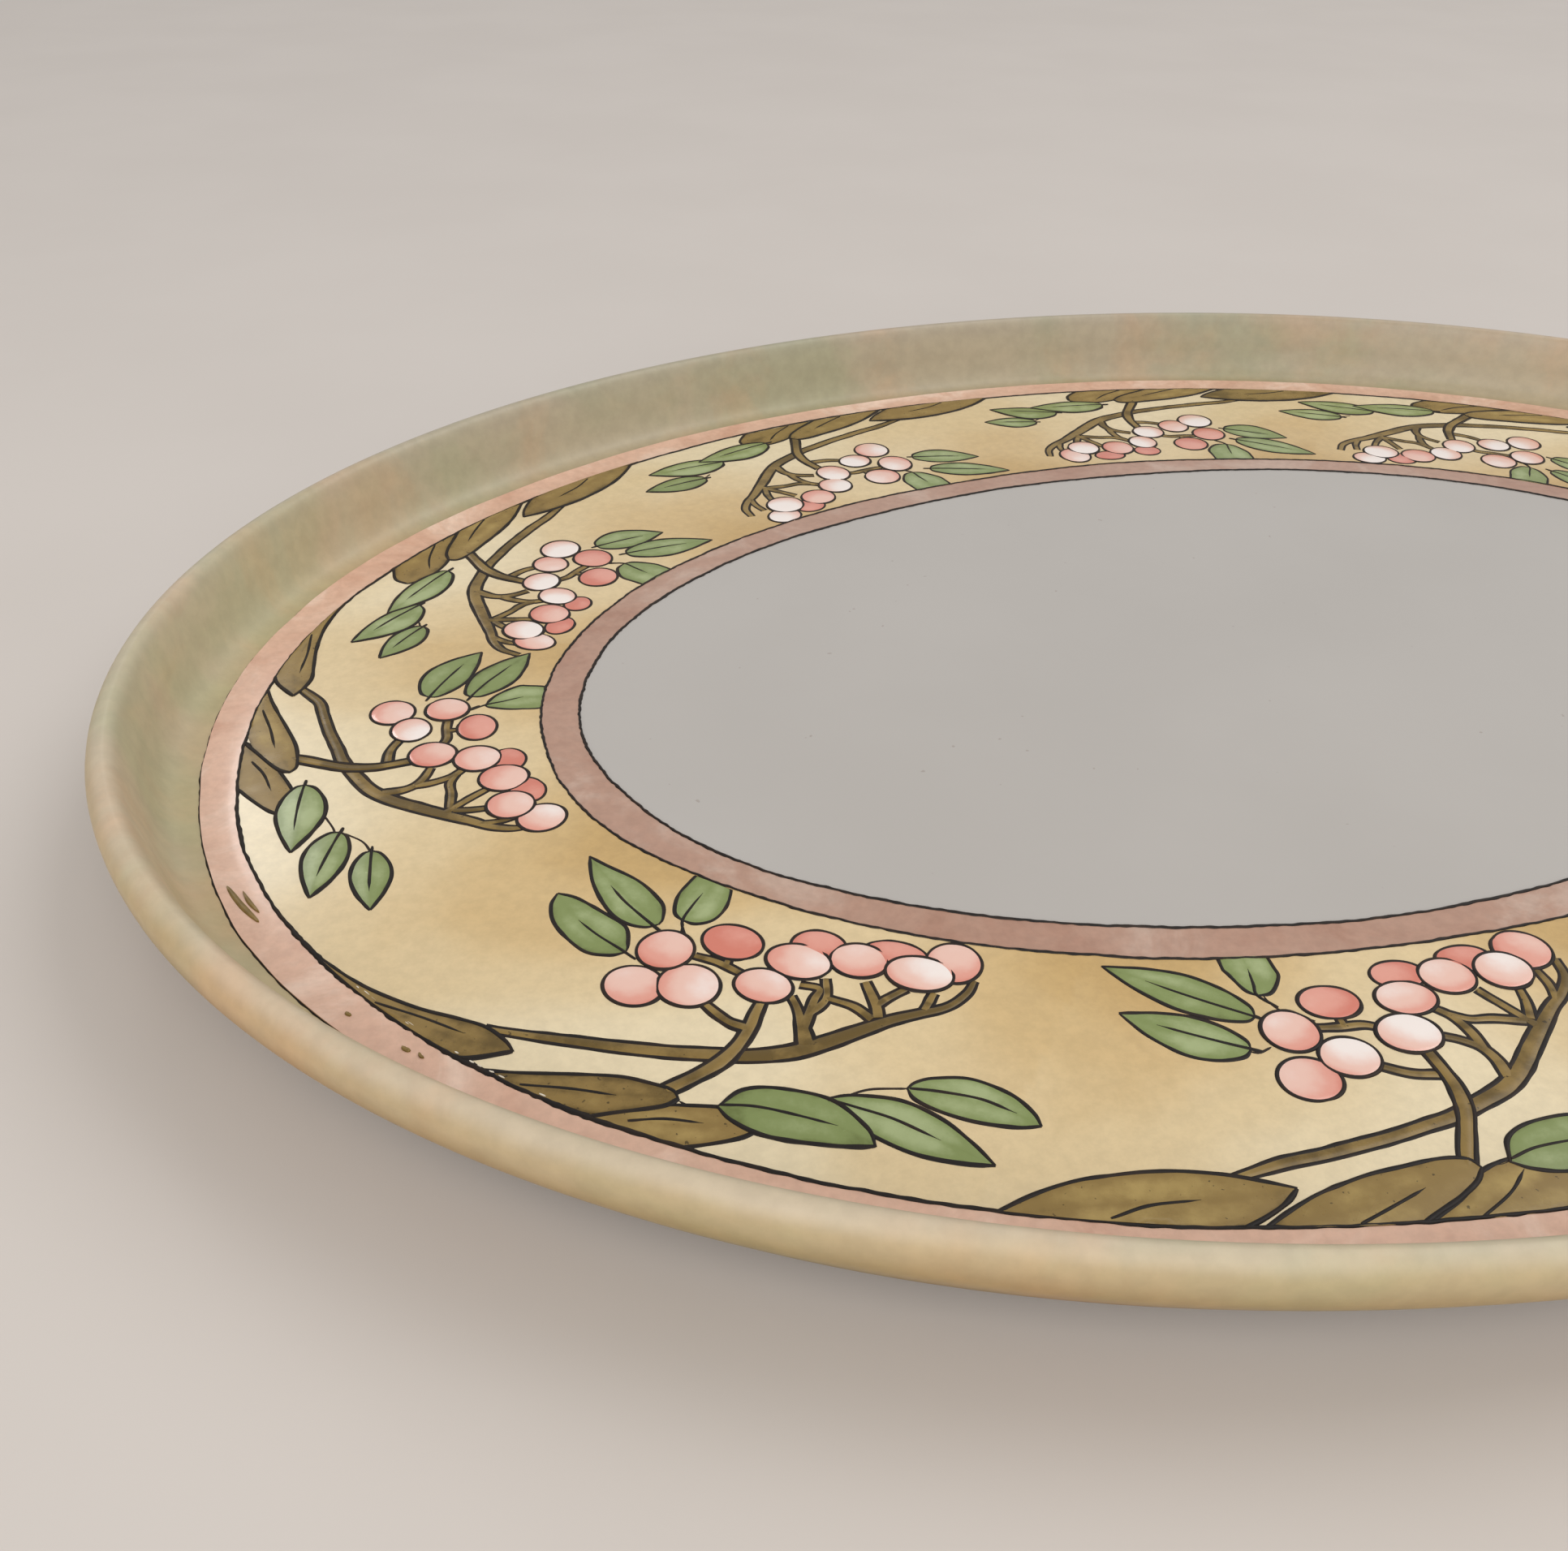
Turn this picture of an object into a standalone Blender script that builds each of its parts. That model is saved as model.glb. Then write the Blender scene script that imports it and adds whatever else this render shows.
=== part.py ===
"""An oval hand-painted china serving platter: a porcelain body on a foot, and its fired enamels.

Units are metres and +Z is up. The origin is on the table, under the platter's centre. +X runs along
the platter's long axis. The enamel sprays run counter-clockwise round the border.
"""

import math

import bpy

# Driving dimensions. Each oval is (half length along X, half width along Y).
RIM_OVAL = (0.1530, 0.1153)
WALL_FOOT_OVAL = (0.1427, 0.1060)
GROUND_OVAL = (0.1379, 0.1016)
INNER_BAND_OVAL = (0.1003, 0.0655)
WELL_OVAL = (0.0951, 0.0604)
FOOT_OUTER_OVAL = (0.1240, 0.0870)
FOOT_WIDTH = 0.0065
FOOT_TREAD = 0.0030
FOOT_HEIGHT = 0.0030
FLOOR_THICKNESS = 0.0039
WALL_HEIGHT = 0.0118

GAP = 0.0003
ENAMEL = 0.0003
LINE_ENAMEL = 0.0005
LINE_WIDTH = 0.0006
OVAL_STEPS = 40

UNDERSIDE = FOOT_HEIGHT + GAP
FLOOR_TOP = UNDERSIDE + FLOOR_THICKNESS
ENAMEL_TOP = FLOOR_TOP + GAP + ENAMEL
BAND_EDGE = LINE_WIDTH / 2 + GAP
MM = 0.001

# The enamelled wall's section, from the floor over the lip and back under. Each point is the share of
# the way from the wall's foot to the rim's widest oval, and the share of the wall's height.
WALL_SECTION = (
    (0.06, 0.00),
    (0.29, 0.09),
    (0.39, 0.21),
    (0.47, 0.39),
    (0.53, 0.59),
    (0.62, 0.87),
    (0.765, 1.00),
    (0.90, 0.96),
    (1.00, 0.79),
    (0.97, 0.62),
    (0.80, 0.39),
    (0.47, 0.04),
    (0.25, -0.20),
)
UNDER_CURVE_END = 0.04

# The painter spaced the ten sprays by eye: the distance of each along the border's middle oval, in mm.
SPRAY_PLACES = (1.0, 65.5, 125.7, 191.5, 258.4, 316.0, 380.6, 448.9, 513.4, 577.9)

# One spray's outlines in mm: along the border in the direction it grows, and outward from its middle.
OLIVE_BRANCH = (
    (-31.7, 17.6), (-27.4, 16.5), (-21.8, 14.8), (-16.6, 13.2), (-9.5, 10.3), (-2.8, 7.8),
    (4.0, 5.2), (4.4, 1.7), (4.7, -1.8), (5.9, -1.8), (6.3, 1.9), (6.3, 4.2), (9.9, 2.3),
    (12.8, -0.9), (16.1, -3.8), (19.9, -6.2), (23.6, -8.3), (25.7, -10.7), (26.9, -10.6),
    (26.1, -8.5), (22.7, -5.6), (18.0, -2.9), (14.7, 0.6), (11.4, 3.8), (6.6, 6.1), (5.7, 8.5),
    (3.8, 11.7), (4.0, 13.8), (9.0, 14.6), (5.9, 17.6), (-13.4, 17.6), (-6.6, 14.2), (-2.8, 12.5),
    (1.4, 11.5), (3.8, 7.2), (0.0, 8.3), (-9.5, 11.7), (-14.7, 13.8), (-12.5, 14.9), (-15.7, 17.6),
)
BERRIES = (
    (-11.2, 0.9), (-9.7, 3.5), (-6.6, 3.7), (-4.7, 1.5), (-1.1, 1.1), (0.9, -1.5), (2.3, -2.8),
    (4.7, -2.5), (7.2, -3.4), (7.9, -5.3), (7.5, -7.6), (10.4, -9.6), (13.2, -9.4), (16.6, -10.3),
    (20.3, -9.1), (24.2, -10.8), (27.1, -11.9), (28.1, -14.2), (27.1, -16.6), (24.1, -17.4),
    (21.4, -15.7), (17.0, -16.5), (12.5, -15.3), (8.5, -15.7), (5.1, -13.8), (3.0, -10.8),
    (0.8, -12.3), (-2.4, -13.1), (-5.1, -11.7), (-7.0, -8.8), (-10.0, -8.3), (-11.4, -5.9),
    (-10.2, -3.0), (-11.3, -0.9),
)
INNER_LEAVES = (
    (-25.4, -6.2), (-23.2, -3.4), (-19.9, -1.5), (-16.1, -0.9), (-13.4, -1.8), (-12.1, -3.4),
    (-13.4, -5.5), (-15.3, -6.9), (-12.8, -7.5), (-11.7, -9.3), (-8.7, -10.7), (-6.7, -11.5),
    (-5.9, -14.2), (-7.0, -17.3), (-12.7, -17.3), (-12.8, -14.4), (-12.2, -12.1), (-14.7, -13.1),
    (-18.9, -13.8), (-28.2, -13.4), (-24.1, -10.6), (-19.4, -8.1), (-17.2, -7.3), (-20.8, -7.0),
)
TRAILING_LEAVES = (
    (6.5, 12.2), (9.0, 13.3), (12.3, 13.9), (16.6, 13.1), (20.3, 12.6), (19.6, 11.0), (22.7, 12.2),
    (30.5, 12.9), (28.4, 10.4), (25.4, 8.5), (22.1, 7.0), (24.2, 6.3), (28.4, 7.7), (34.3, 7.4),
    (33.5, 5.3), (31.2, 3.4), (27.4, 2.4), (24.2, 2.9), (21.9, 4.6), (19.7, 5.9), (15.1, 7.9),
    (10.9, 7.9), (7.8, 9.4),
)

COLOURS = {
    "china": ((0.74, 0.73, 0.72, 1.0), 0.12),
    "bare_china": ((0.70, 0.66, 0.60, 1.0), 0.75),
    "sage_enamel": ((0.42, 0.37, 0.22, 1.0), 0.30),
    "pink_enamel": ((0.62, 0.34, 0.26, 1.0), 0.30),
    "cream_enamel": ((0.76, 0.60, 0.36, 1.0), 0.30),
    "black_enamel": ((0.02, 0.015, 0.01, 1.0), 0.35),
    "olive_enamel": ((0.20, 0.14, 0.05, 1.0), 0.30),
    "berry_enamel": ((0.80, 0.42, 0.36, 1.0), 0.20),
    "leaf_enamel": ((0.20, 0.30, 0.14, 1.0), 0.30),
}


def clear_scene():
    for obj in list(bpy.data.objects):
        bpy.data.objects.remove(obj)


def new_material(name):
    colour, roughness = COLOURS[name]
    material = bpy.data.materials.new(name)
    material.use_nodes = True
    shader = material.node_tree.nodes["Principled BSDF"]
    shader.inputs["Base Color"].default_value = colour
    shader.inputs["Roughness"].default_value = roughness
    shader.inputs["Metallic"].default_value = 0.0
    return material


def add_object(name, data, material_name, collection):
    data.materials.append(new_material(material_name))
    obj = bpy.data.objects.new(name, data)
    collection.objects.link(obj)
    return obj


def inset(oval, distance):
    return (oval[0] - distance, oval[1] - distance)


def oval_angles():
    return [2 * math.pi * step / OVAL_STEPS for step in range(OVAL_STEPS)]


def oval_point(oval, angle):
    return (oval[0] * math.cos(angle), oval[1] * math.sin(angle))


def offset_path(path, distance):
    """The open path moved to its left by the distance, each corner along its bisector."""
    moved = []
    for index, (r, z) in enumerate(path):
        before = path[max(index - 1, 0)]
        after = path[min(index + 1, len(path) - 1)]
        run = after[0] - before[0]
        rise = after[1] - before[1]
        length = math.hypot(run, rise)
        moved.append((r - rise / length * distance, z + run / length * distance))
    return moved


def wall_path(angle):
    """The enamelled wall's section at one angle, as (distance out from the wall's foot, height)."""
    foot = oval_point(WALL_FOOT_OVAL, angle)
    lip = oval_point(RIM_OVAL, angle)
    run = math.dist(foot, lip)
    return [(share * run, ENAMEL_TOP + rise * WALL_HEIGHT) for share, rise in WALL_SECTION]


def wall_point(angle, r, z):
    foot = oval_point(WALL_FOOT_OVAL, angle)
    lip = oval_point(RIM_OVAL, angle)
    run = math.dist(foot, lip)
    out = ((lip[0] - foot[0]) / run, (lip[1] - foot[1]) / run)
    return (foot[0] + out[0] * r, foot[1] + out[1] * r, z)


def loft(name, sections, material_name, collection, closed_section):
    """A skin through one section for each step round the oval. An open section gets flat end caps."""
    points_per_section = len(sections[0])
    vertices = [point for section in sections for point in section]
    faces = []
    last = points_per_section if closed_section else points_per_section - 1
    for step in range(len(sections)):
        here = step * points_per_section
        ahead = (step + 1) % len(sections) * points_per_section
        for index in range(last):
            following = (index + 1) % points_per_section
            faces.append((here + index, here + following, ahead + following, ahead + index))
    if not closed_section:
        starts = range(0, len(vertices), points_per_section)
        faces.append(tuple(starts))
        faces.append(tuple(start + points_per_section - 1 for start in reversed(starts)))
    mesh = bpy.data.meshes.new(name)
    mesh.from_pydata(vertices, [], faces)
    mesh.shade_smooth()
    mesh.set_sharp_from_angle(angle=math.radians(40))
    return add_object(name, mesh, material_name, collection)


def china_body(collection):
    """The floor, the wall and the lip: one section carried round the oval and capped flat."""
    sections = []
    for angle in oval_angles():
        path = [(0.0, FLOOR_TOP)] + offset_path(wall_path(angle), -GAP - ENAMEL)
        path.append((UNDER_CURVE_END * path[-1][0], UNDERSIDE))
        sections.append([wall_point(angle, r, z) for r, z in path])
    loft("china_body", sections, "china", collection, closed_section=False)


def foot_ring(collection):
    """The foot narrows downward to the tread that stands on the table."""
    slope = (FOOT_WIDTH - FOOT_TREAD) / 2
    outline = ((0.0, FOOT_HEIGHT), (slope, 0.0), (slope + FOOT_TREAD, 0.0), (FOOT_WIDTH, FOOT_HEIGHT))
    sections = []
    for angle in oval_angles():
        sections.append([(*oval_point(inset(FOOT_OUTER_OVAL, depth), angle), z) for depth, z in outline])
    loft("foot_ring", sections, "bare_china", collection, closed_section=True)


def sage_rim_coat(collection):
    """The skin of enamel over the inner wall, the lip and the outer wall."""
    sections = []
    for angle in oval_angles():
        outside = wall_path(angle)
        inside = offset_path(outside, -ENAMEL)
        sections.append([wall_point(angle, r, z) for r, z in outside + inside[::-1]])
    loft("sage_rim_coat", sections, "sage_enamel", collection, closed_section=True)


def flat_piece(name, outlines, bottom, thickness, material_name, collection):
    """A flat sheet of enamel filled between its outlines."""
    curve = bpy.data.curves.new(name, "CURVE")
    curve.dimensions = "2D"
    curve.fill_mode = "BOTH"
    curve.extrude = thickness / 2
    for outline in outlines:
        spline = curve.splines.new("POLY")
        spline.points.add(len(outline) - 1)
        spline.use_cyclic_u = True
        for point, (x, y) in zip(spline.points, outline):
            point.co = (x, y, 0.0, 1.0)
    piece = add_object(name, curve, material_name, collection)
    piece.location = (0.0, 0.0, bottom + thickness / 2)


def ring(name, outer, inner, thickness, material_name, collection):
    outlines = [[oval_point(oval, angle) for angle in oval_angles()] for oval in (outer, inner)]
    flat_piece(name, outlines, FLOOR_TOP + GAP, thickness, material_name, collection)


def bands(collection):
    edges = (
        ("outer_pink_band", WALL_FOOT_OVAL, GROUND_OVAL, "pink_enamel"),
        ("cream_ground", GROUND_OVAL, INNER_BAND_OVAL, "cream_enamel"),
        ("inner_pink_band", INNER_BAND_OVAL, WELL_OVAL, "pink_enamel"),
    )
    for name, outer, inner, material_name in edges:
        ring(name, inset(outer, BAND_EDGE), inset(inner, -BAND_EDGE), ENAMEL, material_name, collection)


def lines(collection):
    ovals = (
        ("line_rim", WALL_FOOT_OVAL),
        ("line_outer", GROUND_OVAL),
        ("line_inner", INNER_BAND_OVAL),
        ("line_well", WELL_OVAL),
    )
    for name, oval in ovals:
        outer = inset(oval, -LINE_WIDTH / 2)
        inner = inset(oval, LINE_WIDTH / 2)
        ring(name, outer, inner, LINE_ENAMEL, "black_enamel", collection)


def border_middle():
    return tuple((outer + inner) / 2 for outer, inner in zip(GROUND_OVAL, INNER_BAND_OVAL))


def arc_table(oval, steps=1440):
    """The distance along the oval at each of many even angle steps, from +X counter-clockwise."""
    distances = [0.0]
    for step in range(steps):
        start = oval_point(oval, 2 * math.pi * step / steps)
        end = oval_point(oval, 2 * math.pi * (step + 1) / steps)
        distances.append(distances[-1] + math.dist(start, end))
    return distances


def border_point(along, outward, oval, distances):
    """The plan position of a point given by its distance along the border's middle and outward."""
    steps = len(distances) - 1
    along %= distances[-1]
    step = next(index for index in range(steps) if distances[index + 1] >= along)
    share = (along - distances[step]) / (distances[step + 1] - distances[step])
    angle = 2 * math.pi * (step + share) / steps
    x, y = oval_point(oval, angle)
    normal = (oval[1] * math.cos(angle), oval[0] * math.sin(angle))
    length = math.hypot(*normal)
    return (x + normal[0] / length * outward, y + normal[1] / length * outward)


def sprays(collection):
    oval = border_middle()
    distances = arc_table(oval)
    shapes = (
        ("olive_branch", OLIVE_BRANCH, "olive_enamel"),
        ("berries", BERRIES, "berry_enamel"),
        ("inner_leaves", INNER_LEAVES, "leaf_enamel"),
        ("trailing_leaves", TRAILING_LEAVES, "leaf_enamel"),
    )
    for number, place in enumerate(SPRAY_PLACES, start=1):
        for shape_name, shape, material_name in shapes:
            outline = [
                border_point((place + along) * MM, outward * MM, oval, distances) for along, outward in shape
            ]
            name = f"spray_{number:02d}_{shape_name}"
            flat_piece(name, [outline], ENAMEL_TOP + GAP, ENAMEL, material_name, collection)


def main():
    clear_scene()
    collection = bpy.data.collections.new("china_serving_platter")
    bpy.context.scene.collection.children.link(collection)
    china_body(collection)
    foot_ring(collection)
    sage_rim_coat(collection)
    bands(collection)
    lines(collection)
    sprays(collection)


main()
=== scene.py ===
"""The looks of an oval hand-painted china serving platter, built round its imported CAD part.

Lengths are metres unless a name ends in _mm. A spray is drawn in millimetres: u runs along the border
in the direction that the spray grows, counter-clockwise seen from above, and v runs outward.
"""

import math

import bpy
import numpy as np
from mathutils import Matrix, Vector


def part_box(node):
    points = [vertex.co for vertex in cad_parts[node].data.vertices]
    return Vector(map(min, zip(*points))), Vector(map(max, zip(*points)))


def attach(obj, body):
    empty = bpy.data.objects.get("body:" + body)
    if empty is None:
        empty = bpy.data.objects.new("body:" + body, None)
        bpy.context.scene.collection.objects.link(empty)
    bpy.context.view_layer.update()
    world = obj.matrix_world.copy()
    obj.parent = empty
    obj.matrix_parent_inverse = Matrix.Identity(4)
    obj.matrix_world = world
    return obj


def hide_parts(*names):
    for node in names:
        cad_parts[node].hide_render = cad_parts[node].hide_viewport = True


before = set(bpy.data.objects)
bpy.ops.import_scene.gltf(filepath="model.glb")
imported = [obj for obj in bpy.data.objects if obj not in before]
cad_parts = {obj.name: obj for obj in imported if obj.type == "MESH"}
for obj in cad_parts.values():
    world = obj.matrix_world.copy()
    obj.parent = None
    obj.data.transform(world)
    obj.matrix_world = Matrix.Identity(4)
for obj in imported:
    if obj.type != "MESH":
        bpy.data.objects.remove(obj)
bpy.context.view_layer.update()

MM = 0.001

# ------------ dimensions, from the CAD nodes
LINE_HALF = 0.0003


def half_sizes(node):
    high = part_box(node)[1]
    return np.array((high.x, high.y))


RIM_OVAL = half_sizes("sage_rim_coat")
WALL_FOOT_OVAL = half_sizes("line_rim") - LINE_HALF
GROUND_OVAL = half_sizes("line_outer") - LINE_HALF
INNER_BAND_OVAL = half_sizes("line_inner") - LINE_HALF
WELL_OVAL = half_sizes("line_well") - LINE_HALF
FOOT_OVAL = half_sizes("foot_ring")
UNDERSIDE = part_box("china_body")[0].z
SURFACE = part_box("cream_ground")[1].z
RIM_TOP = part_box("sage_rim_coat")[1].z
WALL_HEIGHT = RIM_TOP - SURFACE
ENAMEL = 0.0003
BODY_TOP = SURFACE - 0.00006  # the white well, just under the enamel's surface
COAT_OVERLAP = 0.00005  # how far the rim coat reaches into the china

# The enamelled wall's section, as in the CAD: share of the run from the wall's foot, share of its height.
WALL_SECTION = (
    (-0.05, 0.00), (0.06, 0.01), (0.16, 0.03), (0.29, 0.09), (0.39, 0.21), (0.47, 0.39), (0.53, 0.59),
    (0.60, 0.79), (0.67, 0.94), (0.765, 1.00), (0.90, 0.96), (0.985, 0.86), (1.00, 0.76), (0.97, 0.62),
    (0.90, 0.50), (0.80, 0.39), (0.64, 0.21), (0.47, 0.04), (0.25, -0.20),
)
WALL_STEPS = 64
ROUND_STEPS = 480
BAND_STEPS = 960
LINE_STEPS = 2400

# The middle of each spray along the border's middle oval, in mm from +X, and its design.
SPRAY_PLACES = (1.0, 65.5, 125.7, 191.5, 258.4, 316.0, 380.6, 448.9, 513.4, 577.9)
SPRAY_DESIGNS = "BEDEDCABCA"

# ------------ the drawn spray
DRAWN = 0.946  # size on the platter of one unit of the drawing, in mm
LEVEL = 0.030  # each layer of enamel lies this much over the one below, in mm
STROKE = 0.014  # how far a brush line stands over its layer, in mm
SUNK = 0.05  # how far every deposit reaches below the border's surface, in mm
DOT = 0.35  # spacing of the points along a curve, in mm
RING_CUT = -20.4  # where the inner ring line cuts a leaf off

# Widths of the brush lines, in mm.
LEAF_LINE = 0.60
MIDRIB_LINE = 0.45
BERRY_LINE = 0.54
STEM_LINE = 0.64
STALK_LINE = 0.36
CHIP_LINE = 0.22

# How far toward brown a brush line's black is, from 0 to 1, and beyond 1 for a bare white chip.
LEAF_TONE = 0.1
STEM_TONE = 0.15
BERRY_TONE = 0.2
STALK_TONE = 0.3
CHIP_TONE = 1.6


def leaf(base, tip, level, right, left, midrib, drawn_left=None):
    """A leaf: points along its two edges, the part of the left edge that has an outline, and its midrib."""
    right, left = (base, *right, tip), (base, *left, tip)
    return dict(level=level, right=right, left=left, midrib=midrib, drawn_left=drawn_left or left)


def oval_leaf(base, tip, right, left, level):
    """A pointed oval leaf between two points, which bulges by the given amounts to its sides."""
    base, tip = np.array(base, float), np.array(tip, float)
    along = tip - base
    across = np.array((-along[1], along[0])) / np.hypot(*along)
    profile = ((0.05, 0.46), (0.24, 0.90), (0.47, 1.0), (0.72, 0.68), (0.90, 0.26))
    bend = (left - right) * 0.25
    return leaf(
        base, tip, level,
        [base + along * share - across * right * height for share, height in profile],
        [base + along * share + across * left * height for share, height in profile],
        [base + along * share + across * bend * share for share in (-0.08, 0.20, 0.45, 0.70)],
    )


def cut_leaf(base, left_foot, right_foot, level):
    """A leaf that grows inward until the ring line cuts it off."""
    u, v = base
    middle = (left_foot + right_foot) / 2
    return leaf(
        base, (middle, RING_CUT), level,
        ((u + 0.45 * (left_foot - u), v - 1.0), (left_foot + 0.3, v - 3.6), (left_foot - 0.1, -17.0),
         (left_foot + 0.2, -20.0)),
        ((u + 0.55 * (right_foot - u), v - 0.4), (right_foot + 0.2, v - 2.8), (right_foot + 0.3, -16.8),
         (right_foot - 0.3, -20.0)),
        ((u + 1.8, v + 2.0), base, (u * 0.6 + middle * 0.4, -14.2), (middle, -16.9)),
    )


A_OLIVE_LEAVES = (
    leaf((-39.5, 20.4), (-13, 15.7), 4,
        ((-34, 19.4), (-29, 18.5), (-24, 17), (-20, 15.4), (-17, 14.5), (-14.5, 14.9)),
        ((-30, 20.4), (-24, 20.4), (-17.5, 20.2), (-15.5, 18.8)),
        ((-27, 19.4), (-22.5, 17.6), (-18, 16.6)),
        ((-17.5, 20.2), (-15.5, 18.8), (-13, 15.7))),
    leaf((-15.5, 20.4), (3.1, 13.4), 3,
        ((-11.5, 18), (-7, 15.2), (-3, 13.2), (0, 12.6), (2.2, 12.6)),
        ((-11, 20.4), (-6.5, 20.2), (-1.5, 18), (2.2, 15)),
        ((-10, 18.9), (-6, 16.9), (-2, 15.6)),
        ((-3.5, 19.8), (-1.5, 18), (2.2, 15), (3.1, 13.4))),
    leaf((-3.5, 19.8), (11.2, 15), 1,
        ((-1, 16.8), (2.5, 14.9), (7.5, 13.1), (10, 13.9)),
        ((0.5, 20.2), (4.5, 20), (7.5, 18.3), (10, 16.4)),
        ((0.5, 18.4), (3.2, 16.7), (6.5, 15.8)),
        ((5, 20), (7.5, 18.3), (10, 16.4), (11.2, 15))),
)
B_OLIVE_LEAVES = (
    leaf((-41, 20.4), (-13.8, 14.4), 4,
        ((-36.8, 16.7), (-33.1, 14.5), (-29.3, 13.2), (-24.7, 12.5), (-20.2, 12.7), (-16.8, 13.4)),
        ((-32, 20.4), (-25, 20.4), (-19.6, 19.2), (-17.5, 17.8), (-15.3, 16.1)),
        ((-30.4, 18.6), (-27, 16.9), (-22.5, 15.9)),
        ((-20.6, 19.8), (-19.6, 19.2), (-17.5, 17.8), (-15.3, 16.1), (-13.8, 14.4))),
    leaf((-19, 20.4), (3.6, 13.4), 3,
        ((-14.2, 16.6), (-11.1, 14.8), (-7.4, 13.4), (-3.6, 12.5), (0.2, 11.8), (2.8, 12.1)),
        ((-14, 20.4), (-8, 20.4), (-4, 19.2), (0.2, 16.6), (2.4, 15)),
        ((-9.6, 19), (-5.8, 17), (-2.5, 15.2)),
        ((-4.8, 19.6), (-2.5, 18.1), (0.2, 16.6), (2.4, 15), (3.6, 13.4))),
    leaf((-4.5, 19.6), (12.6, 14.2), 1,
        ((0.2, 16.6), (3.4, 13.7), (7, 12.5), (10.4, 12.8)),
        ((0.5, 20.4), (6.5, 20.4), (10.2, 18.8), (12.2, 16.6)),
        ((1, 19), (4.8, 16.5), (7.4, 14)),
        ((9.4, 19.6), (10.2, 18.8), (12.2, 16.6), (12.6, 14.2))),
)
A_INNER_LEAVES = (
    leaf((-12.6, -3.4), (-26.9, -6.6), 0,
        ((-14, -1.9), (-17, -0.9), (-22.5, -2.3), (-25.6, -4.4)),
        ((-13.2, -4.6), (-15.6, -7), (-20, -7.5), (-24.3, -7.5)),
        ((-10.9, -3), (-13.5, -3.5), (-17.5, -4), (-21, -4.7))),
    leaf((-12.1, -9.4), (-29.8, -14.2), 1,
        ((-13.2, -8.2), (-15.7, -7.6), (-19, -8.2), (-25, -11)),
        ((-12.4, -10.7), (-14.5, -13), (-20, -14.6), (-27, -14.3)),
        ((-10.8, -8.5), (-14, -9.4), (-18.5, -10.6), (-22.5, -11.8))),
    leaf((-10, -11.4), (-11, RING_CUT), 0,
        ((-11.8, -12.2), (-13.4, -14.8), (-13.8, -17.3), (-13.6, -20)),
        ((-8, -11.6), (-6.3, -13.4), (-6.3, -16.5), (-8.2, -19.9)),
        ((-8, -9.2), (-9.8, -11.2), (-10.4, -14), (-10.7, -16.8))),
)
TRAILING_LEAVES = (
    leaf((6.7, 12.9), (21.5, 13.3), 3,
        ((8.2, 9.9), (11.5, 8.4), (16.5, 8.4), (20.3, 11)),
        ((8.5, 14.1), (12, 14.9), (17, 14.4), (20, 13.8)),
        ((7, 12.6), (10, 11.6), (14, 11.4), (17.8, 11.7))),
    leaf((16, 8.5), (32.2, 13.6), 2,
        ((18.5, 7.3), (23, 6.9), (27, 8.5), (30, 11)),
        ((17.6, 10.2), (20.3, 11.7), (25, 13.5), (29.5, 13.8)),
        ((16.4, 8.6), (19, 8.9), (23, 9.6), (27.2, 11.4))),
    leaf((23.3, 5), (36.3, 7.8), 1,
        ((24, 3.9), (25.8, 2.9), (29.5, 2.4), (33.3, 3.8), (35.5, 6)),
        ((24.2, 6.3), (26.5, 7.4), (30, 8.2), (34, 8.3)),
        ((23.5, 5), (26.5, 4.8), (30.5, 5.1), (34, 6.4))),
)

# Stems: the layer, and (u, v, width) along each.
A_STEMS = (
    (0, ((-17, 14.6, 0.7), (-10, 11.5, 1.3), (-5, 9.6, 1.6), (0, 7.8, 1.7), (4, 6.3, 1.8), (7, 5.3, 1.8),
        (11, 3.2, 2), (14, 0.7, 2), (17, -2, 1.8), (20, -4.5, 1.5), (23, -6.3, 1.3),
        (26, -8, 1.1), (28, -10.5, 1), (28.8, -12.8, 0.8))),
    (0, ((12.2, 1.6, 1.9), (11, -0.9, 1.4), (9.6, -3.4, 1), (8.3, -5, 0.9))),
    (0, ((11.2, -0.4, 1.4), (11.1, -3.2, 1.3), (11, -5.4, 1.1), (11, -7.2, 0.9), (8.6, -7.1, 0.8))),
    (0, ((11.1, -3, 1.2), (12.2, -5.8, 1), (11.2, -9, 0.9))),
    (0, ((18, -4.2, 1.2), (15.5, -5.6, 1), (12.2, -6, 0.8))),
    (0, ((18.6, -4.6, 1.4), (17.9, -6.6, 1.3), (15.9, -9.8, 1.1))),
    (0, ((18, -6.4, 1.1), (19, -7.8, 1), (20.9, -9.9, 0.9))),
    (0, ((23.5, -7, 1.1), (24.2, -9.9, 1))),
    (0, ((-5, -6.8, 0.9), (-2, -7, 1), (1.4, -6.4, 1))),
    (0, ((-0.8, -6.8, 0.9), (-1.2, -8.6, 0.8))),
    (2, ((1.8, 12.9, 1.5), (3.5, 10, 1.6), (5, 7, 1.6), (5.7, 4, 1.5), (5.8, 1, 1.4),
        (5.6, -1, 1.3), (5.5, -3.2, 1.2))),
    (2, ((5.5, 1.4, 1.2), (3.2, 1.2, 1.1), (0, -0.2, 0.9))),
)
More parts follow.
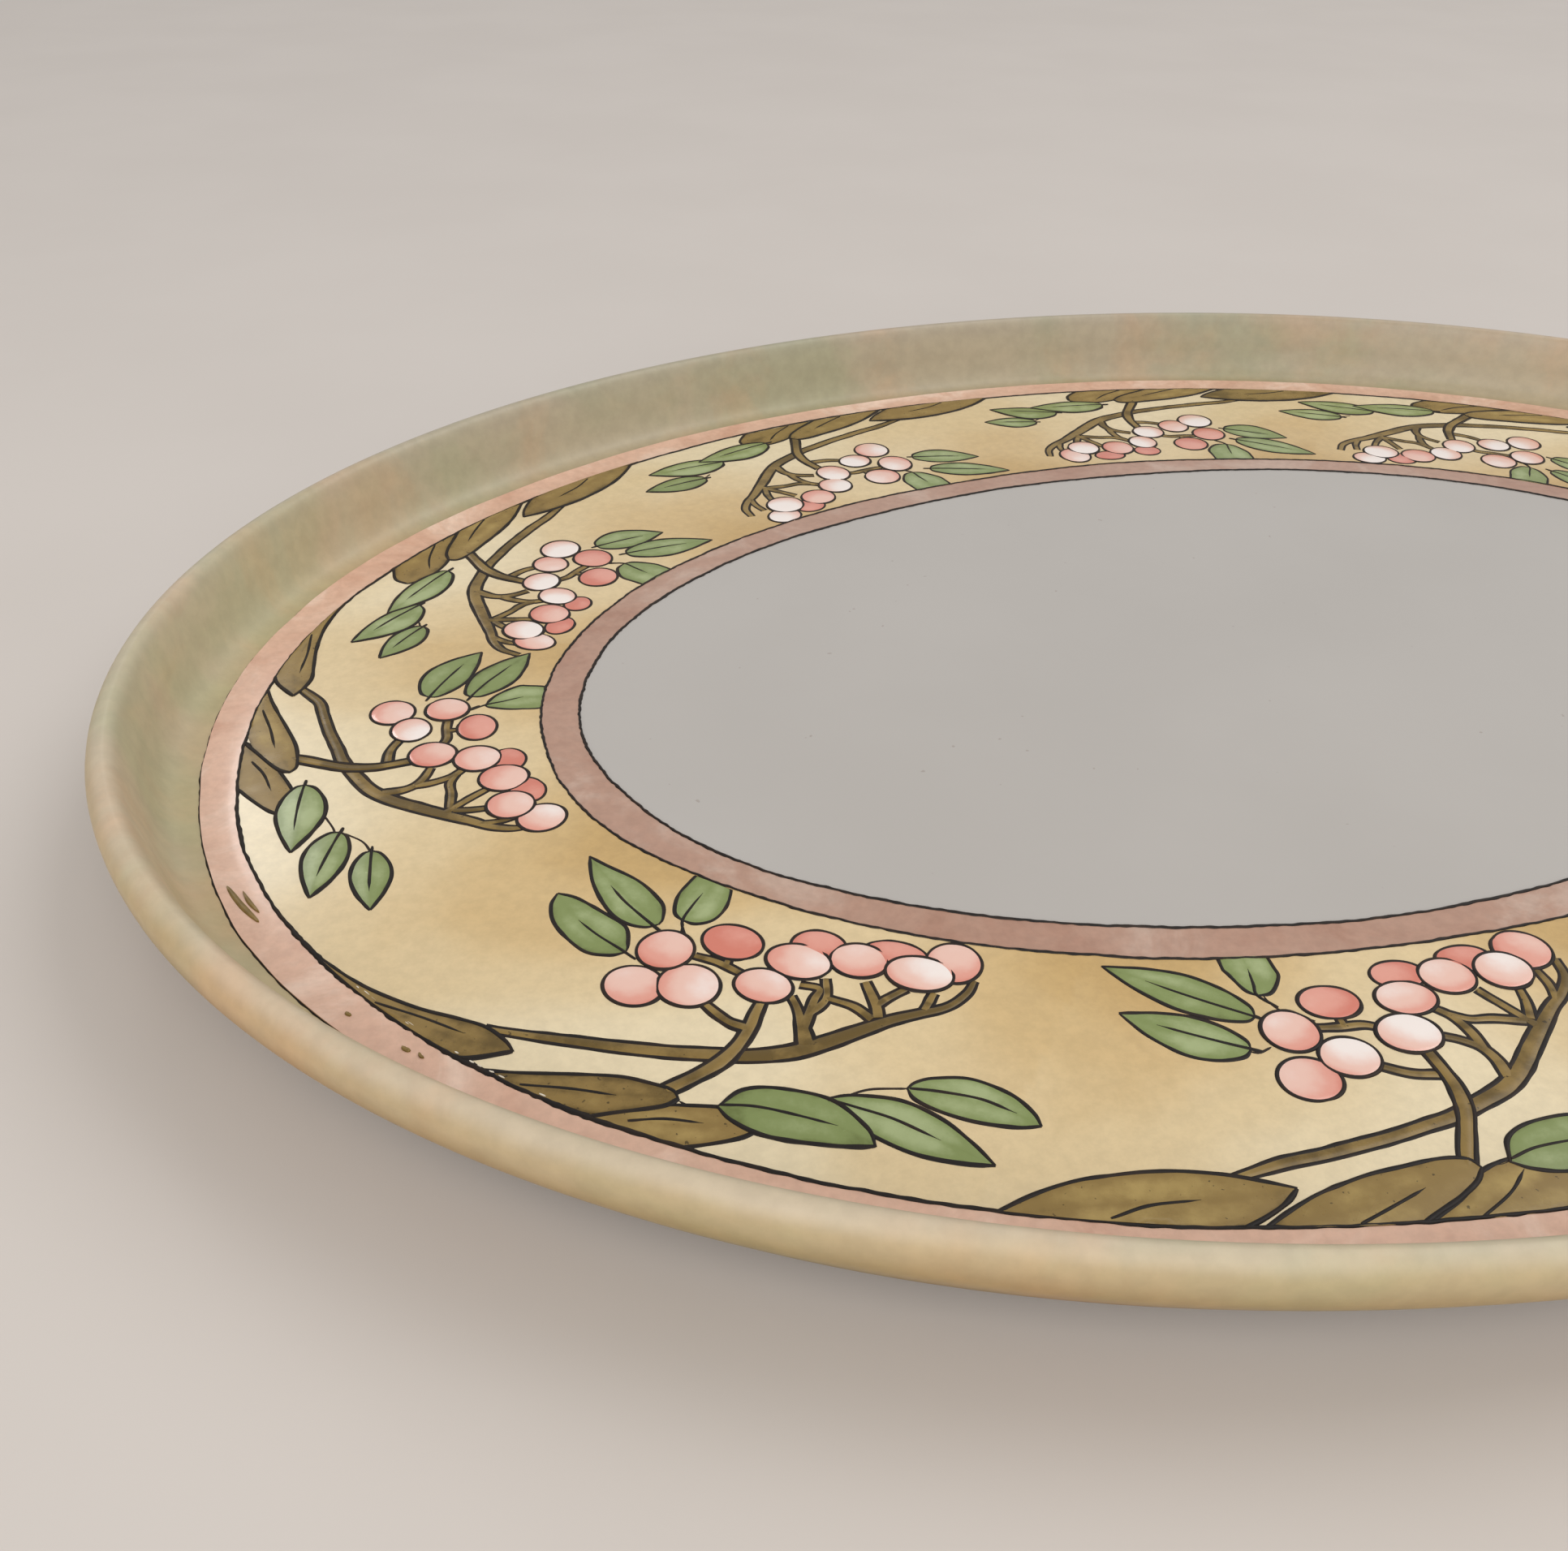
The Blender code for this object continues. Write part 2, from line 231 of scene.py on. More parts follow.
B_STEMS = (
    (0, ((-19.6, 13.4, 0.7), (-14.2, 11.3, 1.3), (-10.4, 10.4, 1.4), (-6.6, 9.4, 1.5), (-2.9, 8.5, 1.5),
        (0.9, 7.4, 1.6), (4.3, 6.5, 1.7), (7.7, 5.1, 1.9), (11.5, 3.5, 2), (14.5, 1.4, 2),
        (17.5, -1.3, 2), (20.6, -3.9, 1.8), (23.6, -6.2, 1.5), (26.6, -8.1, 1.3), (28.8, -10.3, 1.2),
        (29.8, -13.2, 1))),
    (0, ((12.6, 2.2, 1.5), (12.8, -0.2, 1.3), (12.2, -2.2, 1.2), (10.6, -3.6, 1), (8.6, -4.6, 0.9))),
    (0, ((12.3, -1.8, 1.3), (12.4, -4.4, 1.2), (11.7, -7, 1.1), (10.2, -8.8, 1))),
    (0, ((19.4, -5, 1.2), (16.1, -6, 1), (13.4, -6.4, 1), (11.4, -7.6, 0.9))),
    (0, ((20.2, -4.2, 1.3), (18.9, -6.8, 1.1), (17, -10.6, 1))),
    (0, ((20.2, -5.2, 1.1), (21.4, -7.6, 1), (22.3, -10.6, 0.9))),
    (0, ((25, -7, 1.1), (26, -9.6, 1), (26.2, -12.6, 0.9))),
    (0, ((-5.2, -7.2, 0.9), (-2.1, -7.1, 1), (0.9, -7.2, 1), (3, -6.4, 0.9))),
    (0, ((-1.2, -7, 0.9), (-1.3, -9.2, 0.8))),
    (0, ((5.6, 0.8, 1.2), (2.8, 0.3, 1.1), (-0.2, -1.2, 0.9))),
    (2, ((2.4, 13.2, 1.4), (3.2, 11.2, 1.5), (4.5, 8.6, 1.5), (5.8, 5.8, 1.6), (6.4, 2.9, 1.5),
        (6.4, 0.6, 1.4), (6.1, -2.5, 1.3))),
)
# The C spray's branch starts at its first olive leaf's tip.
C_STEMS = (
    (0, ((-12.5, 14.8, 0.8), (-9.7, 11.6, 1.2), (-6.7, 10.2, 1.4), (-2.9, 8.8, 1.5), *B_STEMS[0][1][5:])),
    *B_STEMS[1:],
)

# Berries: centre u, v, half length, half width, depth of the pink, layer.
BERRIES = {
    "A": (
        (-8.5, 0.8, 3.3, 3.2, 0.45, 2), (-3, -2, 3.5, 3.3, 0.35, 3), (-8.6, -6.1, 3.5, 3.3, 0.55, 4),
        (4.6, -5.4, 3.6, 2.8, 0.4, 3), (-2, -10.9, 3.9, 2.8, 0.95, 2), (7.2, -10.7, 4.1, 2.8, 0.4, 3),
        (8.6, -14, 3.6, 2.7, 0.9, 1), (14.1, -12.9, 3.8, 2.9, 0.45, 3), (18.3, -14.9, 4.4, 2.6, 0.9, 1),
        (22, -12.6, 4.1, 2.9, 0.2, 4), (26, -15.2, 3.7, 3.3, 0.5, 2)),
    "B": (
        (-8, 0.2, 3.3, 3, 0.5, 2), (-2.6, -2.6, 3.4, 3, 0.15, 3), (-7.7, -6.8, 3.3, 3.1, 0.45, 4),
        (5.5, -5.3, 3.7, 2.9, 0.1, 3), (-1.3, -10.9, 3.8, 2.7, 0.8, 2), (7.9, -10.6, 3.6, 2.6, 0.4, 3),
        (9.1, -14.3, 3.5, 2.2, 0.85, 1), (14.8, -13.1, 3.5, 2.8, 0.4, 3), (18.6, -15.6, 3.6, 2.2, 0.95, 1),
        (22.3, -12.9, 3.7, 3.1, 0.25, 4), (26.8, -15.5, 3.6, 3.2, 0.6, 2)),
    "C": (
        (-10.4, 0.6, 3.1, 3.1, 0.45, 2), (-5.4, -2.2, 3, 2.8, 0.2, 3), (-10.9, -6.7, 3.3, 3.1, 0.5, 4),
        (1.7, -5.2, 3.3, 3.3, 0.6, 3), (-5.2, -11.3, 3.8, 2.8, 0.8, 2), (4.5, -10.9, 3.7, 3, 0.4, 3),
        (6.3, -14.8, 3.6, 2.2, 1, 1), (11.6, -13.2, 3.9, 3.1, 0.5, 3), (16.4, -15.2, 3.6, 2.3, 1, 1),
        (19.3, -11.9, 3.6, 3, 0.45, 4), (25, -14.3, 3.8, 3.2, 0.3, 2)),
    "D": (
        (-5.5, 0.5, 3.3, 3.2, 0.05, 3), (-0.3, -2, 2.9, 2.9, 0.4, 2), (-6.4, -6.3, 3.3, 3.2, 0.8, 2),
        (5.9, -4.7, 3.2, 2.9, 0.1, 3), (-1.1, -11.4, 3.6, 3, 0.85, 2), (8.8, -9.8, 2.9, 3, 0.15, 3),
        (9.4, -14, 2.7, 2.1, 1, 1), (15.2, -11.9, 3.3, 3.1, 0.6, 3), (18.3, -15.2, 3.3, 2, 1, 1),
        (22.4, -10.8, 3.2, 3.1, 0.1, 4), (25.5, -14, 3.1, 3.2, 0.35, 2)),
    "E": (
        (-6, 0.8, 3.1, 3.3, 0.25, 2), (-0.5, -2.6, 3, 2.8, 0.1, 3), (-7, -6.9, 3.3, 3.3, 0.3, 4),
        (6.4, -5.8, 3.2, 3.3, 0.2, 3), (-1.5, -11, 3.6, 3.3, 0.35, 2), (9.2, -10.7, 3.2, 3, 0.15, 3),
        (15, -13.4, 3.4, 3, 0.55, 3), (18.8, -15.6, 3.2, 2.4, 0.95, 1), (22.7, -13, 3.5, 3.1, 0.05, 4),
        (25.8, -16.4, 3.4, 2.6, 0.15, 2)),
}

# The painter varied the sprays. Each design: its stems and olive leaves, how far each set is shifted along
# the border, how light each olive leaf is, its green leaves, its stalks of one brush line, and for A the
# number of chips in the thick line beside its olive leaves.
DESIGNS = {
    "A": dict(
        branches=A_STEMS, stems=0, leaves=A_OLIVE_LEAVES, olive=0, tones=(0.12, 0.06, 0.22), chips=14,
        inner=A_INNER_LEAVES, trailing=TRAILING_LEAVES,
        stalks=(((18, 7.4), (20, 6), (23.5, 5)), ((6.9, 12.9), (4.8, 13.9), (3.4, 13.7)),
            ((-8.3, -8.6), (-9.6, -11.2)))),
    "B": dict(
        branches=B_STEMS, stems=0, leaves=B_OLIVE_LEAVES, olive=0, tones=(0.24, 0.26, 0.24),
        inner=(oval_leaf((-12.9, -4.4), (-26.6, -9.6), 3.4, 2.7, 0), cut_leaf((-9.4, -12.5), -12.2, -6, 0),
            oval_leaf((-10.8, -9.3), (-27.5, -17.2), 2.6, 3.4, 1)),
        trailing=TRAILING_LEAVES,
        stalks=(((18, 7.4), (20, 6), (23.5, 5)), ((8.2, 11.8), (6.2, 12.9), (4.6, 13)),
            ((-13, -3.9), (-12, -3.8), (-10.6, -4.6)), ((-11.6, -9.6), (-10.3, -9.2)),
            ((-4.2, -8.2), (-6.9, -9.5), (-8.3, -11.1), (-8.8, -12.6)))),
    "C": dict(
        branches=C_STEMS, stems=-3.5, leaves=A_OLIVE_LEAVES, olive=-1.5, tones=(0.14, 0.18, 0.16),
        inner=(oval_leaf((-14.8, -3.8), (-29.6, -7.7), 3.7, 2.8, 0),
            cut_leaf((-12.4, -11.9), -19.3, -11.1, 0),
            oval_leaf((-14.8, -9.5), (-31, -14.6), 2.8, 3.3, 1)),
        trailing=(oval_leaf((4.5, 11.4), (16.1, 15.1), 3.5, 2.4, 3),
            oval_leaf((15.2, 9), (24.3, 16.1), 2.4, 2.7, 2),
            oval_leaf((20, 6.5), (29.4, 11.2), 2.5, 2.2, 1)),
        stalks=(((11.5, 9.8), (14.5, 9.4), (16.5, 10.2)), ((15.5, 8.4), (18, 6.9), (21, 6.6)),
            ((-10.2, -8.8), (-12.2, -11.2)))),
    "D": dict(
        branches=B_STEMS, stems=1, leaves=B_OLIVE_LEAVES, olive=3.3, tones=(0.12, 0.16, 0.18),
        inner=(oval_leaf((-10.1, -3.4), (-22.2, -7.8), 3.7, 2.9, 0), cut_leaf((-8.4, -11.6), -12, -4.1, 0),
            oval_leaf((-11.3, -9.3), (-26.6, -16), 2.9, 3.4, 1)),
        trailing=(oval_leaf((10.1, 10.9), (24.6, 11.6), 3.7, 2.1, 3),
            oval_leaf((20.7, 8.2), (32.9, 12.6), 4.1, 1.7, 2),
            oval_leaf((26.5, 4.2), (36.4, 6.6), 2.7, 2.1, 1)),
        stalks=(((23.5, 9), (21.5, 8.6)), ((25, 5.8), (26.6, 4.6)), ((-6.2, -8.6), (-8, -11.2)))),
    "E": dict(
        branches=B_STEMS, stems=1.4, leaves=B_OLIVE_LEAVES, olive=1, tones=(0.16, 0.18, 0.1),
        inner=(oval_leaf((-11.6, -5), (-24.3, -9.3), 3.3, 2.6, 0), cut_leaf((-7.9, -11.6), -12, -4.5, 0),
            oval_leaf((-12.2, -11.5), (-27.2, -17.3), 2.8, 2.8, 1)),
        trailing=(oval_leaf((9.8, 12.9), (24.6, 11.8), 4.1, 2.2, 3),
            oval_leaf((21.1, 9.5), (34.9, 12.5), 3.8, 2.6, 2),
            oval_leaf((27.8, 5.1), (39.6, 7), 3, 2.5, 1)),
        stalks=(((24.5, 8.6), (22, 9.2)), ((26, 6.2), (28, 5.2)), ((-6.6, -9.4), (-7.6, -11.2)))),
}


# ------------ ovals and the border's own plan
def full_turn(count):
    return np.linspace(0, 2 * math.pi, count, endpoint=False)


def oval_points(oval, angles):
    return np.stack((oval[0] * np.cos(angles), oval[1] * np.sin(angles)), axis=-1)


def oval_normals(oval, angles):
    normal = np.stack((oval[1] * np.cos(angles), oval[0] * np.sin(angles)), axis=-1)
    return normal / np.linalg.norm(normal, axis=-1, keepdims=True)


MIDDLE_OVAL = (GROUND_OVAL + INNER_BAND_OVAL) / 2
TABLE_ANGLES = np.linspace(0, 2 * math.pi, 2881)
TABLE_STEPS = np.linalg.norm(np.diff(oval_points(MIDDLE_OVAL, TABLE_ANGLES), axis=0), axis=1)
TABLE_ALONG = np.concatenate(((0.0,), np.cumsum(TABLE_STEPS))) / MM
PERIMETER = TABLE_ALONG[-1]


def reach_to(oval):
    """The distance along each table normal from the middle oval to another oval, in mm."""
    at = oval_points(MIDDLE_OVAL, TABLE_ANGLES)
    normal = oval_normals(MIDDLE_OVAL, TABLE_ANGLES)
    a = ((normal / oval) ** 2).sum(-1)
    b = (at * normal / oval**2).sum(-1)
    c = ((at / oval) ** 2).sum(-1) - 1
    return (np.sqrt(b * b - a * c) - b) / a / MM


OUTWARD_LIMIT = reach_to(GROUND_OVAL)
INWARD_LIMIT = reach_to(INNER_BAND_OVAL)


def on_border(u, v, clipped=True):
    """Plan positions in metres of points given in mm along and across the border, kept between its lines."""
    along = np.mod(u, PERIMETER)
    angle = np.interp(along, TABLE_ALONG, TABLE_ANGLES)
    if clipped:
        inner, outer = (np.interp(along, TABLE_ALONG, limit) for limit in (INWARD_LIMIT, OUTWARD_LIMIT))
        v = np.clip(v, inner, outer)
    return oval_points(MIDDLE_OVAL, angle) + oval_normals(MIDDLE_OVAL, angle) * (v * MM)[..., None]


def raised(flat, height):
    """Plan points with their heights, in metres."""
    return np.concatenate((flat, np.broadcast_to(height, flat.shape[:-1])[..., None]), axis=-1)


# ------------ curves
def resample(curve, count):
    steps = np.linalg.norm(np.diff(curve[:, :2], axis=0), axis=1)
    at = np.concatenate(((0.0,), np.cumsum(steps)))
    even = np.linspace(0, at[-1], count)
    return np.stack([np.interp(even, at, column) for column in curve.T], axis=1)


def smooth(points, count=None, spacing=DOT):
    """A smooth curve through the points, with its points evenly spaced."""
    points = np.array(points, float)
    padded = np.vstack((2 * points[0] - points[1], points, 2 * points[-1] - points[-2]))
    share = np.linspace(0, 1, 12, endpoint=False)[:, None]
    pieces = []
    for index in range(len(points) - 1):
        a, b, c, d = padded[index:index + 4]
        pieces.append(
            b + (c - a) * share / 2 + (a - 2.5 * b + 2 * c - d / 2) * share**2
            + (1.5 * (b - c) + (d - a) / 2) * share**3
        )
    curve = np.vstack(pieces + [points[-1:]])
    if count is None:
        length = np.linalg.norm(np.diff(curve[:, :2], axis=0), axis=1).sum()
        count = max(4, int(length / spacing) + 1)
    return resample(curve, count)


def path_normals(path):
    """Unit vectors to the left of a path."""
    tangent = np.gradient(path, axis=0)
    tangent /= np.maximum(np.linalg.norm(tangent, axis=1, keepdims=True), 1e-9)
    return np.stack((-tangent[:, 1], tangent[:, 0]), axis=1)


def wander(random, count, knots, size):
    """A smooth random run of values between -size and size."""
    at = np.linspace(0, knots, count)
    values = random.uniform(-size, size, knots + 2)
    low = at.astype(int)
    share = at - low
    share = share * share * (3 - 2 * share)
    return values[low] * (1 - share) + values[low + 1] * share


def ring_wander(random, count, turns, size):
    """A smooth random run of values that meets itself after one turn."""
    angles = full_turn(count)
    total = np.zeros(count)
    for turn in turns:
        total += np.cos(turn * angles + random.uniform(0, 2 * math.pi))
    return total * size / math.sqrt(len(turns))


# ------------ meshes
SHARP = math.radians(70)


def faces_inward(points, faces):
    """Whether the faces of a closed shape point into it, from the sign of its volume."""
    corners = np.array([(face[0], b, c) for face in faces for b, c in zip(face[1:], face[2:])])
    a, b, c = (points[corners[:, index]] - points[0] for index in range(3))
    return (a * np.cross(b, c)).sum() < 0


class Pile:
    """Collects closed shapes into one mesh, with one value for each named attribute at each point."""

    def __init__(self, *names):
        self.points = []
        self.faces = []
        self.values = {name: [] for name in names}
        self.count = 0

    def add(self, points, faces, **values):
        self.points.append(np.asarray(points, float).reshape(-1, 3))
        added = len(self.points[-1])
        turn = -1 if faces_inward(self.points[-1], faces) else 1
        for face in faces:
            self.faces.append(tuple(int(corner) + self.count for corner in face[::turn]))
        for name, collected in self.values.items():
            collected.append(np.broadcast_to(np.ravel(values[name]), (added,)))
        self.count += added

    def piece(self, name, material, slot, *nodes):
        mesh = bpy.data.meshes.new(name)
        mesh.from_pydata(np.vstack(self.points).tolist(), [], self.faces)
        mesh.shade_smooth()
        mesh.set_sharp_from_angle(angle=SHARP)
        for key, collected in self.values.items():
            layer = mesh.attributes.new(key, "FLOAT", "POINT")
            layer.data.foreach_set("value", np.concatenate(collected).astype(np.float32))
        mesh.materials.append(material)
        piece = bpy.data.objects.new(name, mesh)
        bpy.context.scene.collection.objects.link(piece)
        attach(piece, "root")
        if nodes:
            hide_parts(*nodes)
        return piece


def tube_faces(rows, columns):
    """Faces of a closed section of that many columns carried along the rows, without ends."""
    at = np.arange(rows * columns).reshape(rows, columns)
    ahead = np.roll(at, -1, axis=1)
    quads = np.stack((at[:-1], at[1:], ahead[1:], ahead[:-1]), axis=-1)
    return quads.reshape(-1, 4).tolist()


def ring_faces(rows, columns, closed_section):
    """Faces of sections, one a row, carried right round and back to the first."""
    at = np.arange(rows * columns).reshape(rows, columns)
    around = np.roll(at, -1, axis=0)
    if closed_section:
        here, next_here = at, np.roll(at, -1, axis=1)
        ahead, next_ahead = around, np.roll(around, -1, axis=1)
    else:
        here, next_here = at[:, :-1], at[:, 1:]
        ahead, next_ahead = around[:, :-1], around[:, 1:]
    return np.stack((here, next_here, next_ahead, ahead), axis=-1).reshape(-1, 4).tolist()


def add_ribbon(pile, path, widths, top_mm, crown_mm, place, clipped=True, **values):
    """A brush stroke: a low rounded strip along a path drawn in mm."""
    across = np.array((-0.5, -0.36, 0.0, 0.36, 0.5))
    rise = np.array((-SUNK, top_mm, top_mm + crown_mm, top_mm, -SUNK))
    plan = path[:, None] + path_normals(path)[:, None] * (across[None, :, None] * widths[:, None, None])
    points = raised(on_border(place + plan[..., 0], plan[..., 1], clipped), SURFACE + rise * MM)
    rows, columns = plan.shape[:2]
    faces = tube_faces(rows, columns)
    faces.append(list(range(columns)))
    faces.append([(rows - 1) * columns + index for index in reversed(range(columns))])
    values = {key: np.broadcast_to(value, plan.shape[:2]) for key, value in values.items()}
    pile.add(points, faces, **values)


def add_slab(pile, plan, rise_mm, place, **values):
    """A low domed sheet over a grid of plan points in mm, closed underneath."""
    rows, columns = plan.shape[:2]
    flat = on_border(place + plan[..., 0], plan[..., 1])
    top, bottom = raised(flat, SURFACE + rise_mm * MM), raised(flat, SURFACE - SUNK * MM)
    at = np.arange(rows * columns).reshape(rows, columns)
    quads = np.stack((at[:-1, :-1], at[1:, :-1], at[1:, 1:], at[:-1, 1:]), axis=-1).reshape(-1, 4)
    under = quads[:, ::-1] + rows * columns
    edge = np.concatenate((at[0, :-1], at[:-1, -1], at[-1, :0:-1], at[:0:-1, 0]))
    ahead = np.roll(edge, -1)
    sides = np.stack((edge, ahead, ahead + rows * columns, edge + rows * columns), axis=-1)
    values = {key: np.concatenate((np.ravel(value), np.ravel(value))) for key, value in values.items()}
    pile.add(np.concatenate((top, bottom)), quads.tolist() + under.tolist() + sides.tolist(), **values)


# ------------ materials
class Nodes:
    """Short ways to wire up one material's nodes."""

    def __init__(self, name, roughness, coat, coat_roughness, specular=0.5):
        self.material = bpy.data.materials.new(name)
        self.material.use_nodes = True
        self.tree = self.material.node_tree
        self.shader = self.tree.nodes["Principled BSDF"]
        self.fill(self.shader, {
            "Roughness": roughness, "Coat Weight": coat, "Coat Roughness": coat_roughness,
            "Specular IOR Level": specular,
        })
        self.place = self.node("TexCoord", {}).outputs["Object"]

    def fill(self, node, inputs):
        for key, value in inputs.items():
            if isinstance(value, bpy.types.NodeSocket):
                self.tree.links.new(value, node.inputs[key])
            else:
                node.inputs[key].default_value = value

    def node(self, kind, inputs, **settings):
        node = self.tree.nodes.new(f"ShaderNode{kind}")
        for key, value in settings.items():
            setattr(node, key, value)
        self.fill(node, inputs)
        return node

    def noise(self, scale, detail, roughness=0.5, distortion=0.0):
        return self.node("TexNoise", {
            "Vector": self.place, "Scale": scale, "Detail": detail, "Roughness": roughness,
            "Distortion": distortion,
        }).outputs["Fac"]

    def coordinate(self, axis):
        return self.node("SeparateXYZ", {"Vector": self.place}).outputs[axis]

    def value(self, name):
        return self.node("Attribute", {}, attribute_name=name).outputs["Fac"]

    def math(self, operation, first, second, clamp=False):
        return self.node("Math", {0: first, 1: second}, operation=operation, use_clamp=clamp).outputs[0]

    def clouded(self, name, noise, amount, clamp=True):
        """A value of the mesh with clouds of noise over it, up to half the amount either way."""
        clouds = self.math("MULTIPLY", self.math("SUBTRACT", noise, 0.5), amount)
        return self.math("ADD", self.value(name), clouds, clamp)

    def ramp(self, factor, *stops):
        node = self.node("ValToRGB", {"Fac": factor})
        node.color_ramp.interpolation = "EASE"
        elements = node.color_ramp.elements
        while len(elements) < len(stops):
            elements.new(0.5)
        for element, (at, colour) in zip(elements, stops):
            element.position = at
            element.color = (*colour, 1.0)
        return node.outputs["Color"]

    def mix(self, factor, first, second, blend="MIX"):
        inputs = {"Factor": factor, 6: first, 7: second}
        return self.node("Mix", inputs, data_type="RGBA", blend_type=blend).outputs[2]

    def tint(self, first, second):
        return self.mix(1.0, first, second, "MULTIPLY")

    def colour(self, value):
        self.fill(self.shader, {"Base Color": value})

    def rough(self, factor, low, high):
        node = self.node("MapRange", {"Value": factor, "To Min": low, "To Max": high})
        self.fill(self.shader, {"Roughness": node.outputs["Result"]})

    def bump(self, height, strength, distance_mm):
        node = self.node("Bump", {"Strength": strength, "Distance": distance_mm * MM, "Height": height})
        self.fill(self.shader, {"Normal": node.outputs["Normal"]})


def grey(value):
    return (value, value, value)


def china_material():
    n = Nodes("glazed_china", 0.10, 0.2, 0.05)
    base = n.ramp(n.noise(22, 4), (0.30, (0.435, 0.412, 0.390)), (0.70, (0.455, 0.432, 0.410)))
    speck = n.ramp(n.noise(700, 1), (0.170, (0.82, 0.79, 0.76)), (0.200, (1.0, 1.0, 1.0)))
    n.colour(n.tint(base, speck))
    n.rough(n.noise(60, 3), 0.16, 0.24)
    n.bump(n.noise(120, 2), 0.06, 0.25)
    return n.material


def foot_material():
    """Glazed above, ground bare on the tread."""
    n = Nodes("ground_foot", 0.60, 0.0, 0.1)
    edge = n.math("ADD", n.math("MULTIPLY", n.coordinate("Z"), 1 / MM), n.noise(160, 3))
    glazed = n.ramp(n.math("MULTIPLY", edge, 0.5), (0.62, grey(0.0)), (0.68, grey(1.0)))
    grit = n.ramp(n.noise(1400, 4), (0.35, (0.50, 0.45, 0.38)), (0.62, (0.70, 0.66, 0.60)))
    n.colour(n.mix(glazed, grit, (0.75, 0.74, 0.73, 1.0)))
    n.rough(glazed, 0.80, 0.12)
    n.bump(n.noise(1600, 4), 0.35, 0.08)
    return n.material


def sage_material():
    n = Nodes("sage_rim_enamel", 0.45, 0.08, 0.30)
    turn = n.clouded("turn", n.noise(45, 4), 0.10, clamp=False)
    # Along the section the coat is sage up the inner wall and over the crest, then turns tan down the outer
    # wall, its own colour; the deepening of that tan toward the underside is painted shade under the lip.
    section = n.ramp(
        turn,
        (0.02, (0.490, 0.390, 0.235)), (0.16, (0.520, 0.430, 0.280)), (0.34, (0.530, 0.440, 0.295)),
        (0.43, (0.510, 0.425, 0.298)), (0.49, (0.520, 0.435, 0.315)), (0.56, (0.470, 0.362, 0.210)),
        (0.66, (0.390, 0.268, 0.123)), (0.90, (0.310, 0.195, 0.078)),
    )
    green = n.ramp(n.noise(26, 4, 0.55, 0.6), (0.42, grey(0.0)), (0.62, grey(0.6)))
    tinted = n.mix(green, section, n.tint(section, (0.82, 0.97, 0.88, 1.0)))
    peach = n.ramp(n.noise(34, 5, 0.6, 0.4), (0.48, grey(0.0)), (0.68, grey(0.65)))
    tinted = n.mix(peach, tinted, n.tint(tinted, (1.15, 0.96, 0.87, 1.0)))
    # Painted shade: the coat is darkened and cooled toward the far side, along +Y, for the shade on the far
    # wall.
    far_side_shade = n.ramp(n.math("MULTIPLY", n.coordinate("Y"), 8.0), (0.15, grey(1.0)), (0.85, (0.76, 0.78, 0.82)))
    grain = n.ramp(n.noise(420, 5, 0.6), (0.25, grey(0.93)), (0.75, grey(1.06)))
    n.colour(n.tint(n.tint(tinted, far_side_shade), grain))
    n.rough(n.noise(70, 4), 0.40, 0.55)
    n.bump(n.noise(260, 4), 0.10, 0.10)
    return n.material


def pink_material(name, tint):
    n = Nodes(name, 0.25, 0.3, 0.08)
    wash = n.ramp(
        n.noise(60, 5, 0.6, 0.8), (0.30, (0.560, 0.325, 0.235)), (0.50, (0.640, 0.410, 0.310)),
        (0.68, (0.750, 0.560, 0.460)),
    )
    dark, light = ([level * channel for channel in tint] for level in (0.92, 1.06))
    grain = n.ramp(n.noise(800, 4, 0.6), (0.25, dark), (0.75, light))
    n.colour(n.tint(wash, grain))
    n.rough(n.noise(120, 3), 0.16, 0.30)
    n.bump(n.noise(300, 3), 0.12, 0.10)
    return n.material


def cream_material():
    n = Nodes("cream_ground_enamel", 0.25, 0.15, 0.10)
    wash = n.ramp(
        n.clouded("warm", n.noise(30, 5, 0.5, 0.5), 0.7),
        (0.05, (0.760, 0.650, 0.440)), (0.45, (0.685, 0.540, 0.315)),
        (0.75, (0.610, 0.440, 0.215)), (1.00, (0.530, 0.355, 0.145)),
    )
    grain = n.ramp(n.noise(700, 5, 0.65), (0.25, grey(0.93)), (0.75, grey(1.05)))
    n.colour(n.tint(wash, grain))
    n.rough(n.noise(120, 3), 0.16, 0.30)
    n.bump(n.noise(500, 4), 0.12, 0.06)
    return n.material


def outline_material():
    """Black that turns brown where it is thin, and off-white where it has chipped away."""
    n = Nodes("black_outline_enamel", 0.45, 0.0, 0.10, specular=0.25)
    n.colour(n.ramp(
        n.clouded("tone", n.noise(300, 4), 1.0),
        (0.0, (0.010, 0.007, 0.006)), (0.5, (0.028, 0.015, 0.009)),
        (0.95, (0.085, 0.045, 0.020)), (1.0, (0.740, 0.680, 0.580)),
    ))
    n.rough(n.noise(900, 3), 0.38, 0.60)
    n.bump(n.noise(1500, 3), 0.20, 0.05)
    return n.material


def olive_material():
    n = Nodes("olive_branch_enamel", 0.35, 0.0, 0.10, specular=0.35)
    wash = n.ramp(
        n.clouded("light", n.noise(260, 5, 0.6), 0.9),
        (0.08, (0.120, 0.076, 0.018)), (0.40, (0.255, 0.168, 0.050)), (0.85, (0.410, 0.292, 0.100)),
    )
    speck = n.ramp(n.noise(1500, 2), (0.27, grey(0.35)), (0.31, grey(1.0)))
    n.colour(n.tint(wash, speck))
    n.rough(n.noise(300, 3), 0.20, 0.38)
    n.bump(n.noise(700, 4), 0.20, 0.06)
    return n.material


